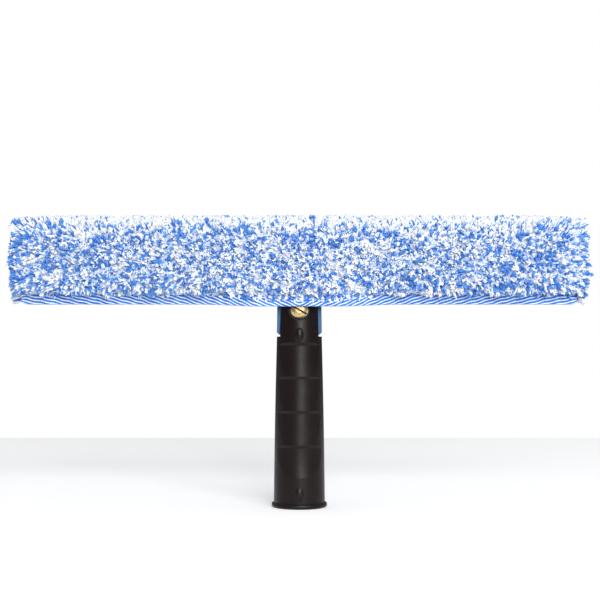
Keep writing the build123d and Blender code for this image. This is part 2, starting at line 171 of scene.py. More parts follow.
class Tree:
    """The nodes of one material, or of the studio's air."""

    def __init__(self, name: str, library: str = "materials") -> None:
        """Starts with no nodes.

        Args:
            name: The name of the material or world.
            library: Where it is kept: materials or worlds.
        """
        self.owner = getattr(bpy.data, library).new(name)
        self.owner.use_nodes = True
        self.nodes = self.owner.node_tree.nodes
        self.links = self.owner.node_tree.links
        self.nodes.clear()

    def add(
        self,
        kind: str,
        settings: dict[str, object] | None = None,
        sockets: dict[int | str, object] | None = None,
        out: int | str | None = 0,
    ) -> "Sock | None":
        """Adds a node, with its settings first and its sockets after.

        Args:
            kind: The node's type.
            settings: Attributes to set; "stops" holds a colour ramp's (place, colour) pairs.
            sockets: A value or a Sock for each input, by index or name.
            out: Which output to hand back, or None for a node without any.

        Returns:
            The chosen output.
        """
        node = self.nodes.new(kind)
        for key, value in (settings or {}).items():
            if key == "stops":
                ramp = node.color_ramp.elements
                while len(ramp) < len(value):
                    ramp.new(0.5)
                for element, (place, colour) in zip(ramp, value):
                    element.position = place
                    element.color = (*colour, 1.0)
            else:
                setattr(node, key, value)
        for key, value in (sockets or {}).items():
            socket = node.inputs[key]
            if isinstance(value, Sock):
                self.links.new(value.socket, socket)
            elif isinstance(value, tuple) and len(value) == 3 and socket.type == "RGBA":
                socket.default_value = (*value, 1.0)
            else:
                socket.default_value = value
        return None if out is None else Sock(self, node.outputs[out])

    def vector(self, operation: str, *values: "Sock | Triple", out: str = "Vector") -> Sock:
        """Adds one Vector Math node and hands back its output out."""
        return self.add("ShaderNodeVectorMath", {"operation": operation}, dict(enumerate(values)), out)

    def axis(self, vector: Sock, name: str) -> Sock:
        """Reads the X, Y or Z of a vector."""
        return self.add("ShaderNodeSeparateXYZ", sockets={0: vector}, out=name)

    def stored(self, name: str) -> Sock:
        """Reads a number that store() kept on the piece's points."""
        return self.add("ShaderNodeAttribute", {"attribute_name": name}, out="Fac")

    def place(self, stretch: Triple = (1.0, 1.0, 1.0)) -> Sock:
        """Object coordinates, stretched along each axis.

        Args:
            stretch: What each coordinate is multiplied by.

        Returns:
            The coordinates.
        """
        here = self.add("ShaderNodeTexCoord", out="Object")
        return self.add("ShaderNodeMapping", sockets={"Vector": here, "Scale": stretch})

    def noise(self, vector: Sock, scale: float, detail: float = 3.0, rough: float = 0.55) -> Sock:
        """A cloudy value from 0 to 1.

        Args:
            vector: Where to read it.
            scale: Clouds per metre.
            detail: How many finer layers it has.
            rough: How strong those are.

        Returns:
            The value.
        """
        sockets = {"Vector": vector, "Scale": scale, "Detail": detail, "Roughness": rough}
        return self.add("ShaderNodeTexNoise", sockets=sockets)

    def blend(self, share: Sock | float, first: Sock | Colour, second: Sock | Colour) -> Sock:
        """Mixes two colours.

        Args:
            share: How much of the second, from 0 to 1.
            first: The first colour.
            second: The second colour.

        Returns:
            The mixed colour.
        """
        return self.add("ShaderNodeMix", {"data_type": "RGBA"}, {0: share, 6: first, 7: second}, out=2)

    def relief(self, height: Sock, depth: float, under: Sock | None = None) -> Sock:
        """A Bump node.

        Args:
            height: The relief, from 0 to 1.
            depth: How far 1 stands above 0, in metres.
            under: A normal to add this relief to.

        Returns:
            The new normal.
        """
        sockets: dict[int | str, object] = {"Height": height, "Distance": depth, "Strength": 1.0}
        if under is not None:
            sockets["Normal"] = under
        return self.add("ShaderNodeBump", sockets=sockets)

    def finish(self, sockets: dict[int | str, object]) -> bpy.types.Material:
        """Ends the tree in one Principled shader.

        Args:
            sockets: The shader's inputs, by name.

        Returns:
            The material.
        """
        shader = self.add("ShaderNodeBsdfPrincipled", sockets=sockets)
        self.add("ShaderNodeOutputMaterial", sockets={"Surface": shader}, out=None)
        return self.owner


# ---- finishes ------------------------------------------------------------------------------------
@dataclass(frozen=True)
class MouldedPlastic:
    """Satin injection-moulded plastic with a spark-eroded grain and faint handling marks."""

    name: str
    colour: Colour
    scuffed: Colour
    roughness: float = 0.42
    grain_per_m: float = 2600.0
    grain_depth: float = 0.00004
    scuff_below: float = -1.0
    gloss: float = 0.5

    def make(self) -> bpy.types.Material:
        """Builds the material.

        Returns:
            The finished material.
        """
        tree = Tree(self.name)
        here = tree.place()
        cloud = tree.noise(here, 70, 4)
        fine = tree.noise(here, self.grain_per_m, 2)
        drawn = tree.noise(tree.place((900.0, 900.0, 60.0)), 1, 3)
        wear = tree.noise(here, 420, 5).between(0.56, 0.78)
        if self.scuff_below > 0:
            height = tree.axis(here, "Z")
            wear = wear * (0.25 + 0.75 * height.between(self.scuff_below, self.scuff_below * 0.4))
        tone = (cloud - 0.5) * 0.5 + (fine - 0.5) * 0.35 + (drawn - 0.5) * 0.3 + 0.5
        base = tree.blend(tone.between(0.2, 0.8), self.colour, tuple(1.35 * c for c in self.colour))
        base = tree.blend(wear * 0.35, base, self.scuffed)
        rough = self.roughness + (cloud - 0.5) * 0.16 + (fine - 0.5) * 0.1 + wear * 0.12
        normal = tree.relief(fine, self.grain_depth, tree.relief(cloud, 0.00022))
        sockets = {"Base Color": base, "Roughness": rough, "Normal": normal}
        return tree.finish({**sockets, "Specular IOR Level": self.gloss})


@dataclass(frozen=True)
class TurnedBrass:
    """Brass turned on a lathe: fine rings, a slot darkened with painted shade and a little dirt, and a
    little tarnish.
    """

    name: str
    slotted: bool = False
    bright: Colour = tint(232, 200, 146)
    tarnish: Colour = tint(170, 124, 76)
    slot_shade_and_dirt: Colour = tint(52, 30, 12)
    centre: Triple = (0.0, 0.0, 0.1217)
    crown: float = -12.4 * MM
    slot_half: float = 0.55 * MM
    slot_angle: float = radians(-30)

    def make(self) -> bpy.types.Material:
        """Builds the material.

        Returns:
            The finished material.
        """
        tree = Tree(self.name)
        here = tree.add("ShaderNodeTexCoord", out="Object")
        away = tree.vector("SUBTRACT", here, self.centre)
        radius = tree.vector("LENGTH", tree.vector("MULTIPLY", away, (1.0, 0.0, 1.0)), out="Value")
        rings = tree.noise(tree.add("ShaderNodeCombineXYZ", sockets={0: radius * 4200}), 1, 3)
        patches = tree.noise(here, 420, 4)
        grime = patches.between(0.5, 0.72)
        base = tree.blend(grime * 0.6, self.bright, self.tarnish)
        base = tree.blend(rings.between(0.45, 0.75) * 0.25, base, tint(250, 222, 160))
        rough = 0.22 + rings * 0.16 + grime * 0.2
        metal: Sock | float = 1.0
        if self.slotted:
            across = (-sin(self.slot_angle), 0.0, cos(self.slot_angle))
            beside = tree.vector("DOT_PRODUCT", away, across, out="Value")
            depth = tree.axis(here, "Y")
            # Inside the slot the brass turns dark and dull: painted shade in the recess, with a little
            # dirt.
            slot = 1 - beside.size().between(self.slot_half, self.slot_half * 1.25)
            slot = slot * depth.between(self.crown + 0.1 * MM, self.crown + 0.5 * MM)
            base = tree.blend(slot, base, self.slot_shade_and_dirt)
            rough = rough + slot * 0.4
            metal = 1 - slot * 0.8
        normal = tree.relief(rings, 0.00003, tree.relief(patches, 0.00012))
        return tree.finish({"Base Color": base, "Metallic": metal, "Roughness": rough, "Normal": normal})


@dataclass(frozen=True)
class DrawnMetal:
    """Bare metal with the straight lines of a die or a rolling mill along one axis."""

    name: str
    colour: Colour
    lines: Triple
    roughness: float = 0.34

    def make(self) -> bpy.types.Material:
        """Builds the material.

        Returns:
            The finished material.
        """
        tree = Tree(self.name)
        scored = tree.noise(tree.place(self.lines), 1, 4)
        cloud = tree.noise(tree.place(), 120, 3)
        base = tree.blend(scored.between(0.35, 0.7), tuple(0.78 * c for c in self.colour), self.colour)
        rough = self.roughness + (cloud - 0.5) * 0.2 + (scored - 0.5) * 0.12
        normal = tree.relief(scored, 0.00002)
        return tree.finish({"Base Color": base, "Metallic": 1.0, "Roughness": rough, "Normal": normal})


@dataclass(frozen=True)
class PileYarn:
    """Microfibre yarn: darker towards its root with painted shade and paler at its tip, with each tuft
    its own tone and fine filaments along it.
    """

    name: str
    deep: Colour
    mid: Colour
    pale: Colour
    sheen: float = 0.35
    fleck: Colour | None = None
    clump_gap_shade: Colour = tint(176, 198, 238)
    clump: float = 0.0015
    dyed_share: float = 0.2

    def make(self) -> bpy.types.Material:
        """Builds the material.

        Returns:
            The finished material.
        """
        tree = Tree(self.name)
        tone, along = tree.stored("tone"), tree.stored("along")
        fibre = tree.noise(tree.place(), 3600, 2)
        # The ramp's deep end is a painted shade tone: along brings it in towards each tuft's root, while
        # tone varies it at random from tuft to tuft.
        shade = tone * 0.6 + along * 0.35 + (fibre - 0.5) * 0.5
        stops = [(0.0, self.deep), (0.45, self.mid), (1.0, self.pale)]
        base = tree.add("ShaderNodeValToRGB", {"stops": stops}, {0: shade})
        normal = tree.relief(fibre, 0.00012)
        if self.fleck is not None:
            base, normal = self.matted(tree, base, normal)
        sheen = {"Sheen Weight": self.sheen, "Sheen Roughness": 0.4, "Specular IOR Level": 0.25}
        return tree.finish({"Base Color": base, "Roughness": 0.88, "Normal": normal, **sheen})

    def matted(self, tree: Tree, base: Sock, normal: Sock) -> tuple[Sock, Sock]:
        """Breaks a sheet of undergrowth into clumps, some of them dyed, with painted shade between them.

        Args:
            tree: The material's tree.
            base: The yarn's colour.
            normal: The yarn's normal.

        Returns:
            The new colour and normal.
        """
        here = tree.place()
        wander = {"Vector": here, "Scale": 500.0, "Detail": 2.0}
        bent = tree.add("ShaderNodeTexNoise", sockets=wander, out="Color")
        sway = tree.add("ShaderNodeVectorMath", {"operation": "SCALE"}, {0: bent, "Scale": self.clump})
        spot = tree.vector("ADD", here, sway)
        cells = {"Vector": spot, "Scale": 1 / self.clump}
        away = tree.add("ShaderNodeTexVoronoi", sockets=cells)
        which = tree.add("ShaderNodeTexVoronoi", sockets=cells, out="Color")
        chance = tree.axis(which, "X")
        # Darker towards each clump's edge: painted shade between the clumps.
        shade = away.between(0.3, 0.75)
        plain = chance.between(self.dyed_share - 0.03, self.dyed_share + 0.03)
        base = tree.blend(1 - plain, base, self.fleck)
        base = tree.blend(shade * 0.4, base, self.clump_gap_shade)
        return base, tree.relief(1 - shade, 0.0007, normal)


@dataclass(frozen=True)
class KnitBacking:
    """The warp-knitted ground that the pile stands in: small ribs with a stitch in each."""

    name: str = "knit_backing"
    colour: Colour = tint(205, 216, 236)
    shadow: Colour = tint(140, 158, 196)
    stitch: float = 0.0016

    def make(self) -> bpy.types.Material:
        """Builds the material.

        Returns:
            The finished material.
        """
        tree = Tree(self.name)
        flat = tree.add("ShaderNodeUVMap", {"uv_map": CLOTH_MAP})
        parts = [tree.axis(flat, name) for name in "XY"]
        turn = 2 * pi / self.stitch
        rib = (parts[0] * turn).sine().size()
        loop = (parts[1] * turn * 0.7 + (parts[0] * turn * 0.5).sine() * 0.8).sine().size()
        weave = (rib * 0.6 + loop * 0.4).between(0.1, 0.9)
        base = tree.blend(weave, self.shadow, self.colour)
        normal = tree.relief(weave, 0.0003)
        return tree.finish({"Base Color": base, "Roughness": 0.9, "Sheen Weight": 0.2, "Normal": normal})


@dataclass(frozen=True)
class TwillEdge:
    """Overlocked border: slanting blue and white threads, read from the piece's own thread map."""

    name: str = "twill_edge"
    blue: Colour = tint(44, 138, 232)
    deep: Colour = tint(34, 106, 208)
    white: Colour = tint(250, 252, 255)

    def make(self) -> bpy.types.Material:
        """Builds the material.

        Returns:
            The finished material.
        """
        tree = Tree(self.name)
        thread = tree.stored("thread")
        fibre = tree.noise(tree.place((1.0, 1.0, 2.4)), 2200, 3)
        cloud = tree.noise(tree.place(), 260, 3)
        ragged = thread + (fibre - 0.5) * 0.4 + (cloud - 0.5) * 0.4
        dyed = tree.blend(cloud.between(0.35, 0.65), self.deep, self.blue)
        base = tree.blend(ragged.between(0.61, 0.81), dyed, self.white)
        sheen = {"Roughness": 0.85, "Sheen Weight": 0.25}
        return tree.finish({"Base Color": base, "Normal": tree.relief(fibre, 0.00018), **sheen})


@dataclass(frozen=True)
class WovenTape:
    """Hook or loop tape: a ribbed ground with a field of tiny bristles."""

    name: str
    colour: Colour
    bristles_per_m: float

    def make(self) -> bpy.types.Material:
        """Builds the material.

        Returns:
            The finished material.
        """
        tree = Tree(self.name)
        sockets = {"Vector": tree.place(), "Scale": self.bristles_per_m}
        cells = tree.add("ShaderNodeTexVoronoi", sockets=sockets)
        height = 1 - cells.between(0.1, 0.6)
        # Darker between the bristles: painted shade.
        base = tree.blend(height, tuple(0.6 * c for c in self.colour), self.colour)
        return tree.finish({"Base Color": base, "Roughness": 0.8, "Normal": tree.relief(height, 0.0003)})


@dataclass(frozen=True)
class SeamlessPaper:
    """The studio's pale paper sweep."""

    name: str = "seamless_paper"
    colour: Colour = (0.95, 0.95, 0.95)
    glow: float = 0.27

    def make(self) -> bpy.types.Material:
        """Builds the material.

        Returns:
            The finished material.
        """
        glow = {"Emission Color": (1.0, 1.0, 1.0), "Emission Strength": self.glow}
        dull = {"Roughness": 0.95, "Specular IOR Level": 0.0}
        return Tree(self.name).finish({"Base Color": self.colour, **dull, **glow})


# ---- mesh helpers --------------------------------------------------------------------------------
def deselect() -> None:
    """Leaves nothing selected."""
    bpy.ops.object.select_all(action="DESELECT")


def from_arrays(
    name: str, points: np.ndarray, loops: np.ndarray, starts: np.ndarray
) -> bpy.types.Object:
    """Makes a smooth-shaded object at the origin.

    Args:
        name: The piece's name.
        points: Its points, in metres, one row each.
        loops: The point index of every face corner.
        starts: Where each face's corners start in loops.

    Returns:
        The new object, in the scene.
    """
    mesh = bpy.data.meshes.new(name)
    mesh.vertices.add(len(points))
    mesh.vertices.foreach_set("co", points.astype(np.float32).ravel())
    mesh.loops.add(len(loops))
    mesh.loops.foreach_set("vertex_index", loops.astype(np.int32))
    mesh.polygons.add(len(starts))
    mesh.polygons.foreach_set("loop_start", starts.astype(np.int32))
    mesh.update(calc_edges=True)
    mesh.polygons.foreach_set("use_smooth", np.ones(len(starts), bool))
    piece = bpy.data.objects.new(name, mesh)
    bpy.context.scene.collection.objects.link(piece)
    return piece


def grid_faces(rows: int, columns: int, closed: bool = False) -> np.ndarray:
    """The corner indices of the quads of a grid.

    Args:
        rows: Points along the first way.
        columns: Points along the second way.
        closed: Whether the second way joins up with itself.

    Returns:
        One row of four indices for each quad.
    """
    span = columns if closed else columns - 1
    r, c = np.meshgrid(np.arange(rows - 1), np.arange(span), indexing="ij")
    r, c, after = r.ravel(), c.ravel(), (c.ravel() + 1) % columns
    here, above = r * columns, (r + 1) * columns
    return np.stack([here + c, here + after, above + after, above + c], 1)


def pick(piece: bpy.types.Object) -> None:
    """Makes a piece the active one, and the only one selected."""
    deselect()
    bpy.context.view_layer.objects.active = piece
    piece.select_set(True)


def open_up() -> None:
    """Opens the active piece in edit mode with all of it selected."""
    bpy.ops.object.mode_set(mode="EDIT")
    bpy.ops.mesh.select_all(action="SELECT")


def close_up() -> None:
    """Goes back to object mode."""
    bpy.ops.object.mode_set(mode="OBJECT")


def thicken(piece: bpy.types.Object, wall: float) -> None:
    """Gives a sheet its thickness, inwards from the face that it was made as.

    Args:
        piece: The sheet.
        wall: How thick it gets.
    """
    pick(piece)
    solid = piece.modifiers.new("thickness", "SOLIDIFY")
    solid.thickness = wall
    solid.offset = -1
    bpy.ops.object.modifier_apply(modifier=solid.name)


def chart(piece: bpy.types.Object, name: str, places: np.ndarray) -> None:
    """Gives a piece a flat map.

    Args:
        piece: The piece.
        name: The map's name.
        places: A place on the map for each face corner.
    """
    layer = piece.data.uv_layers.new(name=name)
    layer.data.foreach_set("uv", places.astype(np.float32).ravel())


def store(piece: bpy.types.Object, name: str, values: np.ndarray) -> None:
    """Keeps one number per point on a piece, for its material to read.

    Args:
        piece: The piece.
        name: The attribute's name.
        values: One number for each point.
    """
    attribute = piece.data.attributes.new(name, "FLOAT", "POINT")
    attribute.data.foreach_set("value", values.astype(np.float32))


def dress(
    piece: bpy.types.Object, material: bpy.types.Material, body: str, slot: str, *nodes: str
) -> None:
    """Gives a new piece its material and its CAD body, and hides the CAD nodes that it stands for.

    Args:
        piece: The piece.
        material: What it is made of.
        body: The CAD body that it moves with.
        slot: The record's material slot; not used.
        nodes: The CAD nodes that it replaces.
    """
    piece.data.materials.clear()
    piece.data.materials.append(material)
    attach(piece, body)
    if nodes:
        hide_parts(*nodes)
    LOG.info("%s: %d faces on %s", piece.name, len(piece.data.polygons), body)


def dress_node(node: str, material: bpy.types.Material) -> None:
    """Gives a carried-over CAD node a better material.

    Args:
        node: The node's name.
        material: What it is made of.
    """
    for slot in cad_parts[node].material_slots:
        slot.material = material
    LOG.info("%s: kept from the frame", node)


# ---- handle and pivot ----------------------------------------------------------------------------
@dataclass
class Handle:
    """The moulded grip with its two ears and the pivot's metalwork."""

    body: str = "handle_body"
    plastic: MouldedPlastic = MouldedPlastic(
        "handle_plastic",
        tint(20, 12, 12),
        tint(48, 38, 36),
        roughness=0.36,
        scuff_below=0.006,
        gloss=0.24,
    )
    screw: TurnedBrass = TurnedBrass("brass_slotted", slotted=True)
    brass: TurnedBrass = TurnedBrass("brass_turned")
    steel: DrawnMetal = DrawnMetal("zinc_steel", tint(190, 191, 194), (2400.0, 2400.0, 300.0), 0.38)
    nylon: MouldedPlastic = MouldedPlastic(
        "nylon_natural", tint(222, 219, 206), tint(180, 176, 160), roughness=0.5, grain_depth=0.00002
    )

    def build(self) -> None:
        """Dresses the handle and the pieces of its pivot."""
        dress_node("handle", self.plastic.make())
        dress_node("pivot_screw", self.screw.make())
        dress_node("pivot_nut", self.brass.make())
        dress_node("wave_washer", self.steel.make())
        nylon = self.nylon.make()
        dress_node("friction_washers", nylon)
        dress_node("pivot_bush", nylon)


@dataclass
class Head:
    """The swivelling hub and the crossbar that carries the sleeve."""

    hub_plastic: MouldedPlastic = MouldedPlastic(
        "hub_plastic", tint(28, 84, 130), tint(100, 134, 166), roughness=0.38, grain_depth=0.00003
    )
    cap_plastic: MouldedPlastic = MouldedPlastic("cap_plastic", tint(38, 38, 40), tint(90, 90, 92))
    bar: DrawnMetal = DrawnMetal("extruded_aluminium", tint(205, 208, 212), (30.0, 2600.0, 2600.0), 0.32)
    rivets: DrawnMetal = DrawnMetal("rivet_aluminium", tint(196, 197, 200), (700.0, 700.0, 700.0), 0.3)

    def build(self) -> None:
        """Dresses the hub, the crossbar and what closes it."""
        dress_node("swivel_hub", self.hub_plastic.make())
        dress_node("crossbar", self.bar.make())
        dress_node("hub_rivets", self.rivets.make())
        caps = self.cap_plastic.make()
        for node in ("end_cap_left", "end_cap_right"):
            dress_node(node, caps)


# ---- sleeve --------------------------------------------------------------------------------------
@dataclass
class Cloth:
    """The outer face of the sleeve's ground cloth: a fold over the crossbar, open at the bottom."""

    half_length: float
    half_thick: float
    top: float
    hem_top: float
    shut: float
    wide: float
    open_half: float = 23 * MM
    mouth_end: float = 62 * MM
    sink: float = 1.3 * MM
    knee_shut: float = 11.5
    knee_open: float = 9
    tips: float = 6.5 * MM
    steps: int = 60
    rows: int = 129
    columns: int = 193
    along: np.ndarray = field(init=False)
    places: np.ndarray = field(init=False)
    normals: np.ndarray = field(init=False)
    lengths: np.ndarray = field(init=False)

    def __post_init__(self) -> None:
        """Works out the cloth on a grid: its places, its normals and its length round each section."""
        self.along = np.linspace(-self.half_length, self.half_length, self.rows)
        sections, measured = zip(*(self.section(x) for x in self.along))
        flat = np.array(sections)
        self.lengths = np.array(measured)
        x = np.repeat(self.along[:, None], self.columns, 1)
        self.places = np.dstack([x, flat[..., 0], flat[..., 1]])
        length_way = np.gradient(self.places, axis=0)
        round_way = np.gradient(self.places, axis=1)
        normals = np.cross(length_way, round_way)
        self.normals = normals / np.linalg.norm(normals, axis=2, keepdims=True)

    def openness(self, x: np.ndarray) -> np.ndarray:
        """How open the mouth is along X: 0 where the two edges meet and 1 beside the neck."""
        return smooth(np.abs(x), self.mouth_end, self.open_half)

    def section(self, x: float) -> tuple[np.ndarray, float]:
        """One section, from the front edge over the top to the back edge.

        Args:
            x: Where along the crossbar.

        Returns:
            Points of Y and Z, spread evenly where the pile's tips will be, and the section's length.
        """
        wide = float(self.openness(np.array([x]))[0])
        edge = self.shut + (self.wide - self.shut) * wide
        knee = self.hem_top + (self.knee_shut + self.knee_open * wide) * MM
        hip = self.top - self.half_thick
        z_low = np.linspace(self.hem_top - self.sink * wide, knee, self.steps)
        y_low = edge + (self.half_thick - edge) * smooth(z_low, self.hem_top - 2 * MM, knee)
        y_low += (edge - y_low[0]) * smooth(z_low, self.hem_top + 4 * MM, self.hem_top)
        z_side = np.linspace(knee, hip, self.steps)[1:]
        turn = np.linspace(0, pi / 2, self.steps)[1:]
        y = np.concatenate([y_low, np.full(len(z_side), self.half_thick), self.half_thick * np.cos(turn)])
        z = np.concatenate([z_low, z_side, hip + self.half_thick * np.sin(turn)])
        half = np.stack([-y, z], 1)
        whole = np.concatenate([half, (half * (-1, 1))[-2::-1]])
        step = np.gradient(whole, axis=0)
        out = np.stack([-step[:, 1], step[:, 0]], 1)
        out /= np.linalg.norm(out, axis=1, keepdims=True)
        tips = whole + self.tips * out
        reach = np.concatenate([[0], np.cumsum(np.linalg.norm(np.diff(tips, axis=0), axis=1))])
        even = np.linspace(0, reach[-1], self.columns)
        length = float(np.linalg.norm(np.diff(whole, axis=0), axis=1).sum())
        return np.stack([np.interp(even, reach, whole[:, k]) for k in (0, 1)], 1), length

    def at(self, u: np.ndarray, x: np.ndarray) -> tuple[np.ndarray, np.ndarray]:
        """Reads the cloth between its grid points.

        Args:
            u: How far round, from 0 at the front edge to 1 at the back edge.
            x: How far along, in metres.

        Returns:
            The places and the outward normals there.
        """
        row = np.clip((x + self.half_length) / (2 * self.half_length), 0, 1) * (self.rows - 1)
        column = np.clip(u, 0, 1) * (self.columns - 1)
        r = np.minimum(row.astype(int), self.rows - 2)
        c = np.minimum(column.astype(int), self.columns - 2)
        a, b = (row - r)[:, None], (column - c)[:, None]

        def read(values: np.ndarray) -> np.ndarray:
            """Mixes the four grid values round each point."""
            low = values[r, c] * (1 - b) + values[r, c + 1] * b
            high = values[r + 1, c] * (1 - b) + values[r + 1, c + 1] * b
            return low * (1 - a) + high * a

        normal = read(self.normals)
        return read(self.places), normal / np.linalg.norm(normal, axis=1, keepdims=True)


@dataclass
class Tuft:
    """One tuft of the pile, modelled once: a blunt, slightly waisted strand of unit length."""

    sides: int = 4
    rings: tuple[tuple[float, float], ...] = ((0.6, 1.0), (0.86, 0.94), (1.0, 0.4))
    root: float = 0.62
    points: np.ndarray = field(init=False)
    loops: np.ndarray = field(init=False)
    starts: np.ndarray = field(init=False)
    flat: np.ndarray = field(init=False)

    def __post_init__(self) -> None:
        """Models the tuft and reads it back as arrays."""
        deselect()
        bpy.ops.mesh.primitive_circle_add(vertices=self.sides, radius=self.root, fill_type="NGON")
        model = bpy.context.object
        open_up()
        height, radius = 0.0, self.root
        for next_height, next_radius in self.rings:
            step = {"value": (0, 0, next_height - height)}
            bpy.ops.mesh.extrude_region_move(TRANSFORM_OT_translate=step)
            bpy.ops.transform.resize(value=(next_radius / radius, next_radius / radius, 1))
            height, radius = next_height, next_radius
        bpy.ops.mesh.select_all(action="SELECT")
        bpy.ops.mesh.normals_make_consistent(inside=False)
        close_up()
        mesh = model.data
        self.points = np.array([v.co for v in mesh.vertices])
        self.loops = np.array([i for face in mesh.polygons for i in face.vertices])
        self.starts = np.array([face.loop_start for face in mesh.polygons])
        self.flat = self.unroll()
        bpy.data.objects.remove(model)

    def unroll(self) -> np.ndarray:
        """Lays the tuft's faces flat in a unit square: its sides in a band between its two ends.

        Returns:
            A place in the square for each face corner.
        """
        flat = np.zeros((len(self.loops), 2))
        ends = list(self.starts[1:]) + [len(self.loops)]
        for low, high in zip(self.starts, ends):
            corners = self.points[self.loops[low:high]]
            if np.ptp(corners[:, 2]) < 1e-6:
                middle = 0.06 if corners[0, 2] < 0.5 else 0.94
                flat[low:high] = (0.5, middle) + 0.05 * corners[:, :2] / np.abs(corners[:, :2]).max()
                continue
            turn = np.arctan2(corners[:, 1], corners[:, 0]) / (2 * pi) % 1.0
            turn = np.where(turn.max() - turn > 0.5, turn + 1, turn)
            flat[low:high] = np.stack([0.02 + turn * 0.78, 0.14 + 0.72 * corners[:, 2]], 1)
        return flat


@dataclass
class Strands:
    """Where each tuft of one patch stands, and how it leans, curls and is dyed."""

    roots: np.ndarray
    ways: np.ndarray
    leans: np.ndarray
    curls: np.ndarray
    heights: np.ndarray
    radii: np.ndarray
    tones: np.ndarray

    def grow(self, name: str, tuft: Tuft) -> bpy.types.Object:
        """Copies the tuft to every place and bends each copy its own way.

        Args:
            name: The patch's name.
            tuft: The modelled tuft.

        Returns:
            The patch, one mesh with a chart for every tuft.
        """
        count, size = len(self.roots), len(tuft.points)
        t = tuft.points[:, 2][None, :, None]
        bend = self.leans[:, None] * t**1.5 + self.curls[:, None] * (t**3 - 0.35 * t)
        slack = 1 - (np.linalg.norm(self.leans, axis=1) / self.heights / 1.3) ** 2
        rise = self.heights * np.sqrt(np.clip(slack, 0.3, 1))
        centre = self.roots[:, None] + self.ways[:, None] * rise[:, None, None] * t + bend
        slope = self.ways * rise[:, None] + 1.5 * self.leans
        slope /= np.linalg.norm(slope, axis=1, keepdims=True)
        guide = np.where(np.abs(slope[:, :1]) < 0.8, (1.0, 0.0, 0.0), (0.0, 0.0, 1.0))
        one = np.cross(slope, guide)
        one /= np.linalg.norm(one, axis=1, keepdims=True)
        two = np.cross(slope, one)
        x, y = tuft.points[:, 0][None, :, None], tuft.points[:, 1][None, :, None]
        points = centre + self.radii[:, None, None] * (x * one[:, None] + y * two[:, None])
        loops = (tuft.loops[None] + size * np.arange(count)[:, None]).ravel()
        starts = (tuft.starts[None] + len(tuft.loops) * np.arange(count)[:, None]).ravel()
        piece = from_arrays(name, points.reshape(-1, 3), loops, starts)
        store(piece, "tone", np.repeat(self.tones, size))
        store(piece, "along", np.tile(tuft.points[:, 2], count))
        cells = int(np.ceil(np.sqrt(count)))
        spot = np.stack([np.arange(count) % cells, np.arange(count) // cells], 1)[:, None]
        chart(piece, BAKE_MAP, (spot + 0.04 + 0.92 * tuft.flat[None]) / cells)
        return piece


